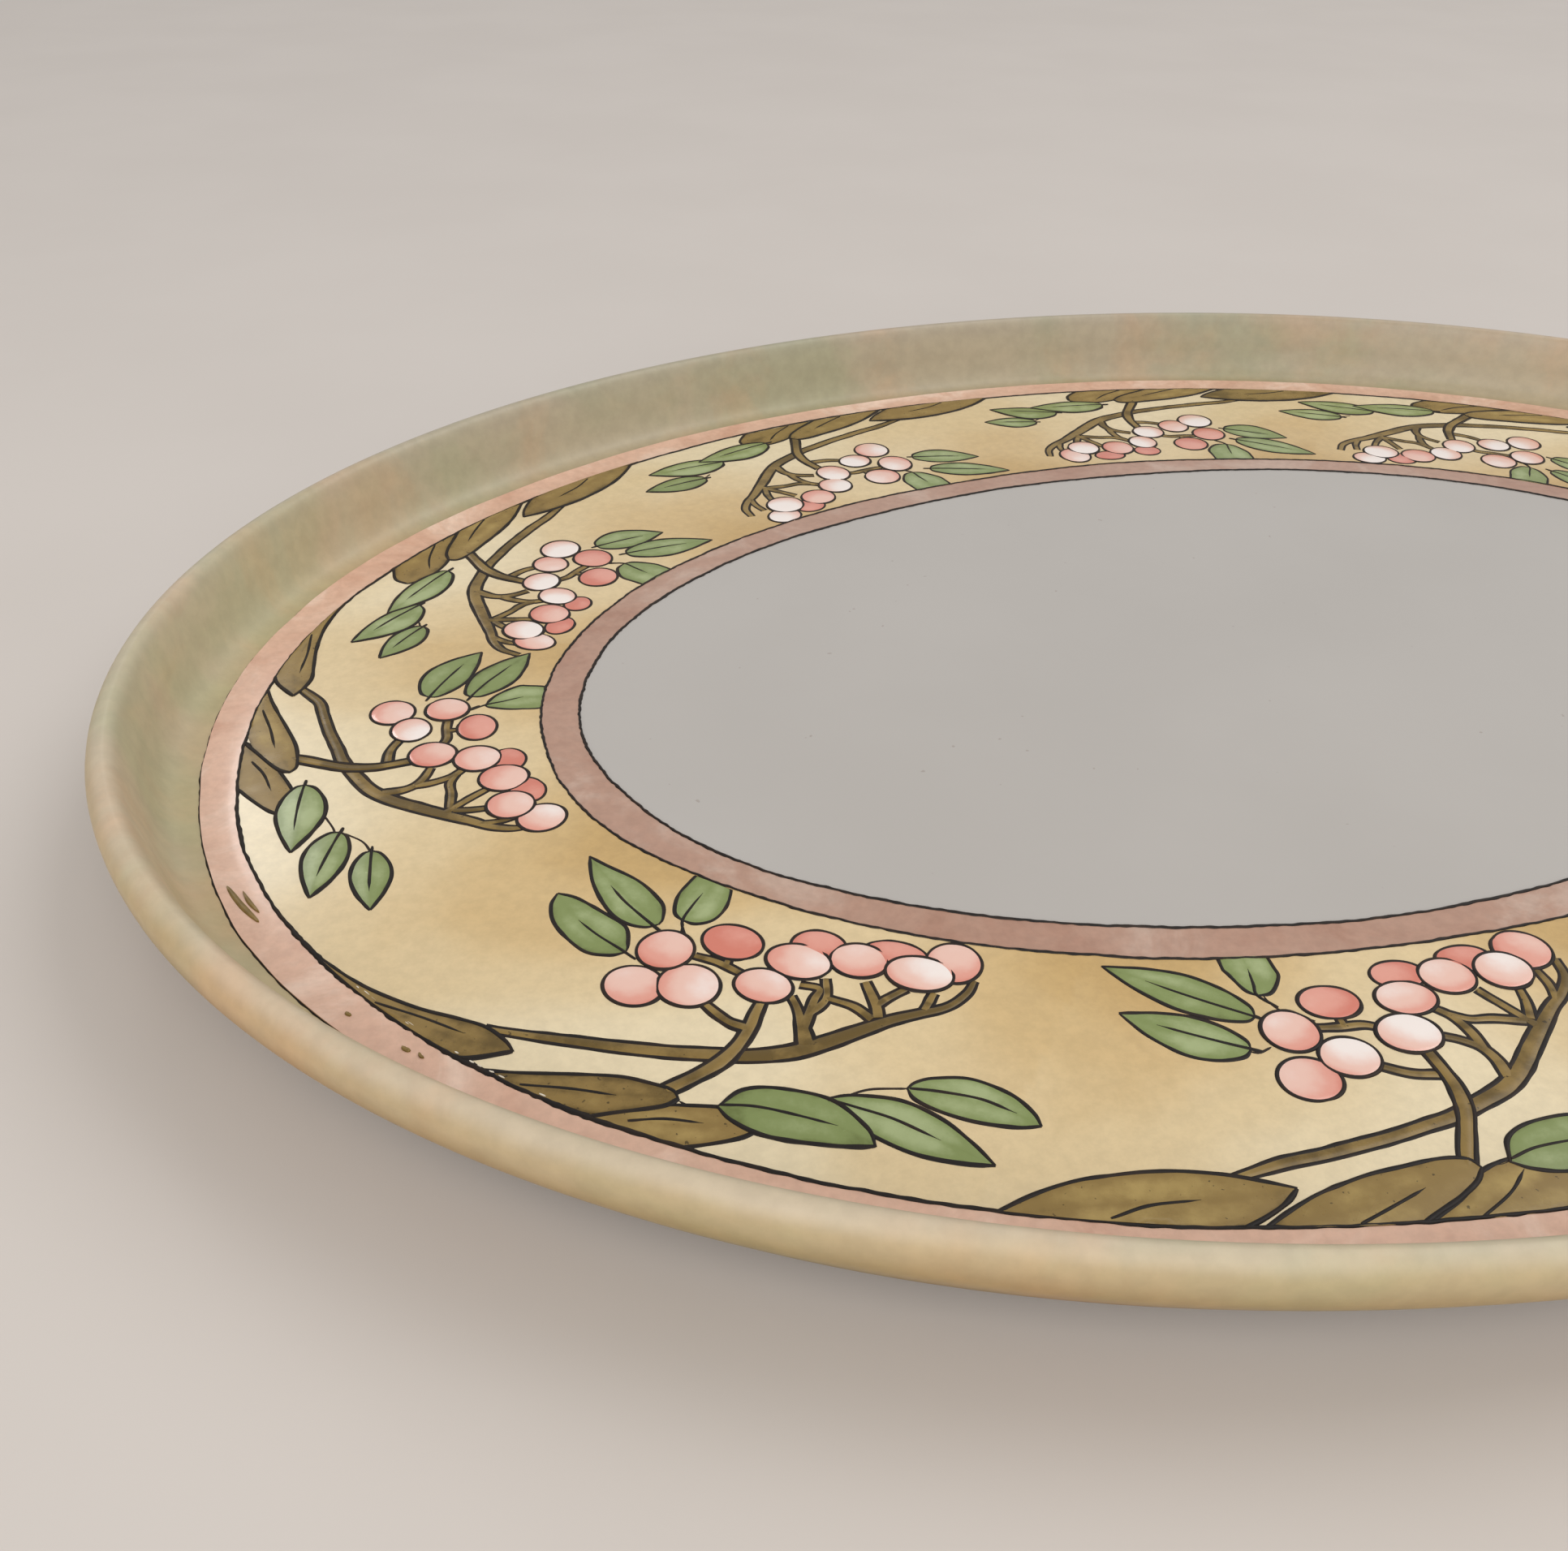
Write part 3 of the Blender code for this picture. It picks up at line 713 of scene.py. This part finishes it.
def leaf_material():
    n = Nodes("green_leaf_enamel", 0.30, 0.10, 0.10, specular=0.4)
    n.colour(n.ramp(
        n.clouded("light", n.noise(230, 5, 0.6), 0.8),
        (0.08, (0.108, 0.136, 0.032)), (0.40, (0.207, 0.262, 0.090)), (0.80, (0.352, 0.415, 0.205)),
    ))
    n.rough(n.noise(300, 3), 0.16, 0.32)
    n.bump(n.noise(600, 4), 0.16, 0.06)
    return n.material


def berry_material():
    n = Nodes("pink_berry_enamel", 0.20, 0.5, 0.06)
    n.colour(n.ramp(
        n.clouded("blush", n.noise(320, 4, 0.6), 0.30),
        (0.04, (0.880, 0.800, 0.765)), (0.40, (0.800, 0.520, 0.440)),
        (0.70, (0.730, 0.330, 0.260)), (1.00, (0.620, 0.190, 0.135)),
    ))
    n.rough(n.noise(300, 3), 0.12, 0.26)
    n.bump(n.noise(600, 3), 0.12, 0.05)
    return n.material


# ------------ body, foot and rim coat
def wall_section(sink):
    """The wall's smooth section as (share of the run, height), moved into the china by the sink."""
    curve = smooth(WALL_SECTION, count=WALL_STEPS)
    curve[:, 0] = np.minimum(curve[:, 0], 1.0)
    curve[:, 1] = np.minimum(curve[:, 1], 1.0)
    run = float(np.linalg.norm(RIM_OVAL - WALL_FOOT_OVAL)) / math.sqrt(2)
    real = np.stack((curve[:, 0] * run, curve[:, 1] * WALL_HEIGHT), axis=1)
    real -= path_normals(real) * sink
    return np.stack((real[:, 0] / run, real[:, 1] + SURFACE), axis=1)


def wall_points(section, angles):
    foot = oval_points(WALL_FOOT_OVAL, angles)[:, None]
    lip = oval_points(RIM_OVAL, angles)[:, None]
    return raised(foot + (lip - foot) * section[None, :, :1], section[:, 1])


def flat_ring(oval, angles, z):
    return raised(oval_points(oval, angles), z)[:, None]


def closed_by_centres(sections, top, bottom):
    """Sections carried round the oval, closed to a point above and a point below at the centre."""
    rows, columns = sections.shape[:2]
    points = np.concatenate((sections.reshape(-1, 3), ((0, 0, top), (0, 0, bottom))))
    faces = ring_faces(rows, columns, closed_section=False)
    first = np.arange(rows) * columns
    last = first + columns - 1
    centre = rows * columns
    faces += np.stack((np.full(rows, centre), first, np.roll(first, -1)), axis=-1).tolist()
    faces += np.stack((np.full(rows, centre + 1), np.roll(last, -1), last), axis=-1).tolist()
    pile = Pile()
    pile.add(points, faces)
    return pile


def china_body(material):
    angles = full_turn(ROUND_STEPS)
    rings = [flat_ring(WELL_OVAL * share, angles, BODY_TOP) for share in (0.25, 0.5, 0.75, 0.95)]
    rings.append(flat_ring(WELL_OVAL + 0.0004, angles, BODY_TOP))
    rings.append(flat_ring(WALL_FOOT_OVAL - 0.0010, angles, BODY_TOP - 0.0002))
    rings.append(wall_points(wall_section(ENAMEL)[2:], angles))
    rounded_edge = ((0.0006, 0.00045), (0.0030, 0.00020), (0.0080, 0.00006), (0.0150, 0.0))
    for inset, lift in rounded_edge:
        rings.append(flat_ring(WALL_FOOT_OVAL - inset, angles, UNDERSIDE + lift))
    for share in (0.75, 0.5, 0.25):
        rings.append(flat_ring(WALL_FOOT_OVAL * share, angles, UNDERSIDE))
    pile = closed_by_centres(np.concatenate(rings, axis=1), BODY_TOP, UNDERSIDE)
    pile.piece("white_china_body", material, "china", "china_body")


def foot(material):
    angles = full_turn(ROUND_STEPS)
    profile = smooth(
        ((-0.6, 3.9), (0.0, 3.1), (0.9, 1.9), (1.5, 0.7), (2.2, 0.06), (3.2, 0.0), (4.2, 0.06), (5.0, 0.7),
         (5.6, 1.9), (6.5, 3.1), (7.1, 3.9)),
        count=40,
    )
    profile[:, 1] = np.maximum(profile[:, 1], 0.0)
    depth = np.maximum(profile[:, 0], 0.0)
    rings = [flat_ring(FOOT_OVAL - d * MM, angles, z * MM) for d, z in zip(depth, profile[:, 1])]
    pile = Pile()
    sections = np.concatenate(rings, axis=1)
    pile.add(sections, ring_faces(*sections.shape[:2], closed_section=True))
    pile.piece("ground_foot_ring", material, "bare_china", "foot_ring")


def rim_coat(material):
    angles = full_turn(ROUND_STEPS)
    outside = wall_points(wall_section(0.0), angles)
    inside = wall_points(wall_section(ENAMEL + COAT_OVERLAP)[::-1], angles)
    sections = np.concatenate((outside, inside), axis=1)
    turn = np.linspace(0, 1, WALL_STEPS)
    values = np.broadcast_to(np.concatenate((turn, turn[::-1])), sections.shape[:2])
    pile = Pile("turn")
    pile.add(sections, ring_faces(*sections.shape[:2], closed_section=True), turn=values)
    pile.piece("sage_rim_enamel_coat", material, "sage_enamel", "sage_rim_coat")


# ------------ bands and ring lines
def drift(seed, count):
    """How far a hand-drawn ring strays from its oval, in mm."""
    random = np.random.default_rng(seed)
    broad = ring_wander(random, count, (3, 4, 6, 7, 9, 13), 0.22)
    return broad + ring_wander(random, count, (24, 31, 43, 58, 77), 0.05)


# Each hand-drawn ring: its oval, and the seed of its drift.
RINGS = {
    "rim": (WALL_FOOT_OVAL, 11), "outer": (GROUND_OVAL, 12),
    "inner": (INNER_BAND_OVAL, 13), "well": (WELL_OVAL, 14),
}


def drawn_ring(name, count):
    """The plan points of a hand-drawn ring, and its outward normals."""
    oval, seed = RINGS[name]
    angles = full_turn(count)
    normal = oval_normals(oval, angles)
    return oval_points(oval, angles) + normal * (drift(seed, count) * MM)[:, None], normal


def spray_distance(points, places=SPRAY_PLACES):
    """The distance along the border, in mm, from the nearest of the places to each plan point."""
    across, high = points[..., 0] / MIDDLE_OVAL[0], points[..., 1] / MIDDLE_OVAL[1]
    along = np.interp(np.mod(np.arctan2(high, across), 2 * math.pi), TABLE_ANGLES, TABLE_ALONG)
    away = along[..., None] - np.array(places)
    away = (away + PERIMETER / 2) % PERIMETER - PERIMETER / 2
    nearest = np.abs(away).argmin(-1)
    return np.take_along_axis(away, nearest[..., None], -1)[..., 0]


def band(name, outer, inner, lift_outer, material, slot, node, *attributes):
    """A wash of enamel between two rings, which may rise toward the outer one."""
    far = drawn_ring(outer, BAND_STEPS)[0]
    near = drawn_ring(inner, BAND_STEPS)[0]
    shares = np.linspace(0, 1, 25)
    flat = near[:, None] + (far - near)[:, None] * shares[None, :, None]
    top = raised(flat, SURFACE + lift_outer * shares**2)
    under = raised(flat[:, [-1, 0]], SURFACE - ENAMEL)
    sections = np.concatenate((top, under), axis=1)
    away = spray_distance(sections[..., :2])
    share = np.concatenate((shares, shares[[-1, 0]]))[None, :]
    warm = 0.44 - 0.27 * np.cos(2 * math.pi * (away - 5) / 64) + 0.72 * (0.5 - share)
    pile = Pile(*attributes)
    pile.add(sections, ring_faces(*sections.shape[:2], closed_section=True), warm=warm)
    pile.piece(name, material, slot, node)


def line(ring, seed, width_mm, thick_at_sprays, material):
    """A ring drawn with a brush: it strays, swells and thins, and is thicker where leaves spring from it."""
    random = np.random.default_rng(seed)
    points, normal = drawn_ring(ring, LINE_STEPS)
    widths = width_mm * (1 + ring_wander(random, LINE_STEPS, (17, 29, 41, 67), 0.13))
    widths += ring_wander(random, LINE_STEPS, (120, 171, 233, 310, 415), 0.07)
    shift = ring_wander(random, LINE_STEPS, (90, 140, 220, 333), 0.04)
    if thick_at_sprays:
        heavy = [place for place, letter in zip(SPRAY_PLACES, SPRAY_DESIGNS) if letter == "A"]
        at_leaves = 1 / (1 + np.exp((np.abs(spray_distance(points, heavy) + 15) - 20) / 1.5))
        widths += at_leaves * (thick_at_sprays + ring_wander(random, LINE_STEPS, (260, 370, 511, 640), 0.14))
    widths = np.maximum(widths, 0.22)
    across = np.array((-0.5, -0.34, 0.0, 0.34, 0.5))
    rise = SURFACE + np.array((-0.10, 0.11, 0.15, 0.11, -0.10)) * MM
    offsets = (across[None] * widths[:, None] + shift[:, None]) * MM
    sections = raised(points[:, None] + normal[:, None] * offsets[..., None], rise)
    pile = Pile("tone")
    pile.add(sections, ring_faces(*sections.shape[:2], closed_section=True), tone=LEAF_TONE + 0.02)
    pile.piece(f"brushed_line_{ring}", material, "black_enamel", f"line_{ring}")


# ------------ sprays
OUTLINE_RISE = 0.4  # a shape's outline lies this much of a layer over its fill
LEAF_JITTER = 0.2  # how far a leaf or a berry strays from where the design has it, in drawing units
BERRY_JITTER = 0.12
BERRY_DOME = 0.11  # in mm
CHIP_REACH = (-34, -2)  # where the chips lie along the spray
CHIP_CLEARANCE = 0.22  # how far inside the ring line a chip stays, in drawing units


def add_stroke(pile, random, points, width, level, tone, place, taper=(0.5, 0.25), lift=0.0):
    """One brush line through the points: its width swells and thins, and it narrows to its ends."""
    path = smooth(np.array(points) * DRAWN)
    count = len(path)
    knots = max(2, count // 9)
    stray = 0.05 if count > 4 else 0.01
    path = path + np.stack([wander(random, count, knots, stray) for _ in range(2)], axis=1)
    ends = np.linspace(0, 1, count)
    shape = np.clip(ends * 6 + taper[0], 0, 1) * np.clip((1 - ends) * 6 + taper[1], 0, 1)
    widths = width * np.maximum(shape, 0.1) * (1 + wander(random, count, max(2, count // 4), 0.18))
    add_ribbon(pile, path, widths, level * LEVEL + STROKE + lift, 0.015, place, tone=tone)


def add_leaf(fills, outlines, random, drawn, place, fill_tone):
    """A leaf's two halves of enamel over a grid from edge to edge, with its outline and midrib."""
    right, left, drawn_left, midrib = (
        np.array(drawn[part], float) for part in ("right", "left", "drawn_left", "midrib")
    )
    shift = random.uniform(-LEAF_JITTER, LEAF_JITTER, 2)
    rows, columns = 26, 11
    along = np.linspace(0.012, 0.988, rows)
    edges = []
    for points in (right, left):
        edge = smooth(points + shift, count=rows) * DRAWN
        edges.append(np.stack([np.interp(along, np.linspace(0, 1, rows), axis) for axis in edge.T], axis=1))
    share = np.linspace(0, 1, columns)
    plan = edges[0][:, None] * (1 - share)[None, :, None] + edges[1][:, None] * share[None, :, None]
    dome = np.sin(math.pi * share)[None] * np.sin(math.pi * along)[:, None] ** 0.5
    rise = drawn["level"] * LEVEL + 0.06 * dome
    halves = np.abs(np.sin(2 * math.pi * share))[None] * np.sin(math.pi * along)[:, None]
    side = random.uniform(0.6, 1.0) * (1 - share) + random.uniform(0.6, 1.0) * share
    middle = np.sin(math.pi * share)[None] ** 0.7 * np.sin(math.pi * along)[:, None] ** 0.7
    light = fill_tone + (0.30 * middle + 0.26 * halves) * side[None] + random.uniform(-0.05, 0.05)
    add_slab(fills, plan, rise, place, light=light)
    above = drawn["level"] + OUTLINE_RISE
    for points, width, taper, lift in (
        (right, LEAF_LINE, (0.5, 0.5), 0.0), (drawn_left, LEAF_LINE, (0.4, 0.6), 0.0),
        (midrib, MIDRIB_LINE, (0.7, 0.0), 0.045),
    ):
        add_stroke(outlines, random, points + shift, width, above, LEAF_TONE, place, taper, lift)


def add_berry(fills, outlines, random, berry, place):
    """A domed drop of enamel, nearly white where it catches the light and pink round it."""
    u, v, long, wide, depth, level = berry
    u, v = np.array((u, v)) + random.uniform(-BERRY_JITTER, BERRY_JITTER, 2)
    long *= random.uniform(0.96, 1.04)
    wide *= random.uniform(0.96, 1.05)
    columns = 36
    angles = full_turn(columns)
    uneven = 1 + ring_wander(random, columns, (2, 3, 4), 0.02)
    radii = np.array((0.18, 0.38, 0.58, 0.76, 0.90, 1.0))
    edge = np.stack((long * uneven * np.cos(angles), wide * uneven * np.sin(angles)), axis=-1)
    plan = (np.array((u, v)) + radii[:, None, None] * edge[None]) * DRAWN
    rise = level * LEVEL + BERRY_DOME * (1 - radii**2) ** 0.6
    toward = random.uniform(0.1, 0.9) * math.pi
    side = np.cos(angles - toward)[None] * radii[:, None]
    blush = depth * 0.90 + 0.01 + (0.38 - 0.18 * depth) * side + 0.24 * radii[:, None] ** 3
    rings = raised(on_border(place + plan[..., 0], plan[..., 1]), SURFACE + rise[:, None] * MM)
    skirt = rings[-1:].copy()
    skirt[..., 2] = SURFACE - SUNK * MM
    centre = on_border(np.array([place + u * DRAWN]), np.array([v * DRAWN]))
    top = SURFACE + (level * LEVEL + BERRY_DOME) * MM
    points = np.concatenate((rings.reshape(-1, 3), skirt[0], ((*centre[0], top),)))
    rows = len(radii) + 1
    faces = tube_faces(rows, columns)
    hub = rows * columns
    faces += [(hub, index, (index + 1) % columns) for index in range(columns)]
    faces.append([hub - columns + index for index in reversed(range(columns))])
    values = np.concatenate((blush.ravel(), blush[-1], (blush[0].mean(),)))
    fills.add(points, faces, blush=values)
    start = random.uniform(0, 2 * math.pi)
    around = np.linspace(start, start + 2 * math.pi + 0.25, 17)
    circle = np.stack((u + long * np.cos(around), v + wide * np.sin(around)), axis=-1)
    add_stroke(outlines, random, circle, BERRY_LINE, level + OUTLINE_RISE, BERRY_TONE, place, (0.5, 0.5))


def add_stem(fills, outlines, random, level, stem, place):
    """A stem's fill and the two brush lines along its sides."""
    curve = smooth(np.array(stem, float) * DRAWN)
    path, widths = curve[:, :2], curve[:, 2] * (1 + wander(random, len(curve), 5, 0.08))
    light = 0.25 + wander(random, len(curve), 6, 0.2)
    add_ribbon(fills, path, widths, level * LEVEL + 0.03, 0.03, place, light=light[:, None])
    normal = path_normals(path)
    for side in (-1, 1):
        edge = path + normal * (side * (widths / 2 + 0.04))[:, None]
        line_widths = STEM_LINE * (1 + wander(random, len(edge), max(3, len(edge) // 4), 0.22))
        add_ribbon(outlines, edge, line_widths, level * LEVEL + 0.012, 0.008, place, tone=STEM_TONE)


def add_chip(outlines, random, place):
    """A bare white nick in the thick black line beside the olive leaves."""
    u = random.uniform(*CHIP_REACH)
    v = np.interp(u, (-34, -28, -2), (19.4, 18.9, 19.6)) + random.uniform(-0.3, 0.3)
    limit = np.interp((place + u * DRAWN) % PERIMETER, TABLE_ALONG, OUTWARD_LIMIT) / DRAWN - CHIP_CLEARANCE
    v = min(v, limit)
    long = random.uniform(0.3, 0.8)
    points = ((u, v), (u + long / 2, v), (u + long, v))
    add_stroke(outlines, random, points, CHIP_LINE, 5.0, CHIP_TONE, place)


def spray(number, place, letter, materials):
    """One spray: its four deposits of enamel and, in a piece of their own, all its brush lines."""
    random = np.random.default_rng(100 + number)
    design = DESIGNS[letter]
    branch, berries = Pile("light"), Pile("blush")
    inner, trailing, outlines = Pile("light"), Pile("light"), Pile("tone")
    for level, stem in design["branches"]:
        add_stem(branch, outlines, random, level, stem, place + design["stems"] * DRAWN)
    for drawn, tone in zip(design["leaves"], design["tones"]):
        add_leaf(branch, outlines, random, drawn, place + design["olive"] * DRAWN, tone)
    for drawn in design["inner"]:
        add_leaf(inner, outlines, random, drawn, place, random.uniform(0.16, 0.28))
    for drawn in design["trailing"]:
        add_leaf(trailing, outlines, random, drawn, place, random.uniform(0.16, 0.30))
    for _ in range(design.get("chips", 0)):
        add_chip(outlines, random, place)
    for stalk in design["stalks"]:
        add_stroke(outlines, random, stalk, STALK_LINE, 0.5, STALK_TONE, place)
    for berry in BERRIES[letter]:
        add_berry(berries, outlines, random, berry, place)
    name = f"spray_{number:02d}"
    for pile, piece, kind, node in (
        (branch, "stems_and_olive_leaves", "olive", "olive_branch"),
        (berries, "berry_cluster", "berry", "berries"),
        (inner, "green_inner_leaves", "leaf", "inner_leaves"),
        (trailing, "green_trailing_leaves", "leaf", "trailing_leaves"),
    ):
        pile.piece(f"{name}_{piece}", materials[kind], f"{kind}_enamel", f"{name}_{node}")
    outlines.piece(f"{name}_outlines", materials["outline"], "black_enamel")


# Slips of the brush on the outer pink band: start and end along and across the border, and width, in mm.
STRAY_MARKS = (
    ((333.9, 22.3), (339.8, 21.2), 0.9), ((335.2, 21.0), (338.6, 20.6), 0.5),
    ((354.3, 21.1), (354.9, 21.0), 0.5), ((360.7, 20.6), (361.6, 20.5), 0.6),
    ((362.3, 20.2), (363.0, 20.4), 0.4),
)


def stray_marks(material):
    random = np.random.default_rng(77)
    pile = Pile("light")
    for start, end, width in STRAY_MARKS:
        path = smooth((start, np.add(start, end) / 2 + (0.0, 0.12), end), spacing=0.12)
        along = np.linspace(0, math.pi, len(path))
        widths = width * (0.12 + np.sin(along) ** 0.6) * (1 + wander(random, len(path), 5, 0.2))
        add_ribbon(pile, path, widths, 0.24, 0.02, 0.0, clipped=False, light=0.30)
    pile.piece("stray_brush_marks", material, "olive_enamel")


# ------------ stage, light and camera
def floor_material():
    n = Nodes("pale_floor", 0.70, 0.0, 0.1, specular=0.0)
    n.colour(n.ramp(n.noise(14, 4), (0.30, (0.600, 0.560, 0.530)), (0.70, (0.615, 0.575, 0.545))))
    return n.material


def stage():
    mesh = bpy.data.meshes.new("floor")
    reach = 4.0
    corners = [(-reach, -reach, 0), (reach, -reach, 0), (reach, reach, 0), (-reach, reach, 0)]
    mesh.from_pydata(corners, [], [(0, 1, 2, 3)])
    floor = bpy.data.objects.new("floor", mesh)
    mesh.materials.append(floor_material())
    bpy.context.scene.collection.objects.link(floor)


def area_light(name, azimuth, elevation, distance, size, energy, colour):
    """A square lamp that faces the platter from the given direction, azimuth counted from +X."""
    a, e = math.radians(azimuth), math.radians(elevation)
    towards = Vector((math.cos(a) * math.cos(e), math.sin(a) * math.cos(e), math.sin(e)))
    lamp = bpy.data.lights.new(name, "AREA")
    lamp.shape = "SQUARE"
    lamp.size = size
    lamp.energy = energy
    lamp.color = colour
    light = bpy.data.objects.new(name, lamp)
    light.location = towards * distance
    light.rotation_mode = "QUATERNION"
    light.rotation_quaternion = towards.to_track_quat("Z", "Y")
    bpy.context.scene.collection.objects.link(light)


def lights():
    world = bpy.data.worlds.new("studio")
    bpy.context.scene.world = world
    world.use_nodes = True
    background = world.node_tree.nodes["Background"]
    background.inputs["Color"].default_value = (1.0, 0.985, 0.965, 1.0)
    background.inputs["Strength"].default_value = 0.54
    area_light("window", 4, 54, 2.2, 1.5, 14.8, (1.0, 0.99, 0.975))
    area_light("front", 246, 34, 1.2, 1.1, 9.2, (1.0, 0.96, 0.91))
    area_light("glint", 104, 33, 1.6, 0.22, 0.7, (1.0, 1.0, 1.0))


def camera():
    """The viewpoint low over the platter's left end, looking along it."""
    data = bpy.data.cameras.new("camera")
    data.sensor_width = 36.0
    data.lens = 35.225
    data.clip_start = 0.01
    seen_from = bpy.data.objects.new("camera", data)
    turned = (
        Matrix.Rotation(math.radians(-18.14), 4, "Z")
        @ Matrix.Rotation(math.radians(55.94), 4, "X")
        @ Matrix.Rotation(math.radians(0.97), 4, "Z")
    )
    seen_from.matrix_world = Matrix.Translation((-0.1223, -0.1654, 0.1154)) @ turned
    bpy.context.scene.collection.objects.link(seen_from)
    bpy.context.scene.camera = seen_from


def main():
    materials = {
        "olive": olive_material(), "berry": berry_material(),
        "leaf": leaf_material(), "outline": outline_material(),
    }
    china_body(china_material())
    foot(foot_material())
    rim_coat(sage_material())
    band("outer_pink_wash", "rim", "outer", 0.0003, pink_material("outer_pink_enamel", (1.08, 1.08, 1.06)),
         "pink_enamel", "outer_pink_band")
    band("cream_wash", "outer", "inner", 0.0, cream_material(), "cream_enamel", "cream_ground", "warm")
    band("inner_pink_wash", "inner", "well", 0.0, pink_material("inner_pink_enamel", (0.67, 0.63, 0.61)),
         "pink_enamel", "inner_pink_band")
    line("rim", 21, 0.50, 0.0, materials["outline"])
    line("outer", 22, 0.52, 0.35, materials["outline"])
    line("inner", 23, 0.42, 0.0, materials["outline"])
    line("well", 24, 0.45, 0.0, materials["outline"])
    for number, (place, letter) in enumerate(zip(SPRAY_PLACES, SPRAY_DESIGNS), start=1):
        spray(number, place, letter, materials)
    stray_marks(materials["olive"])
    stage()
    lights()
    camera()
    bpy.context.scene.view_settings.view_transform = "Standard"


main()
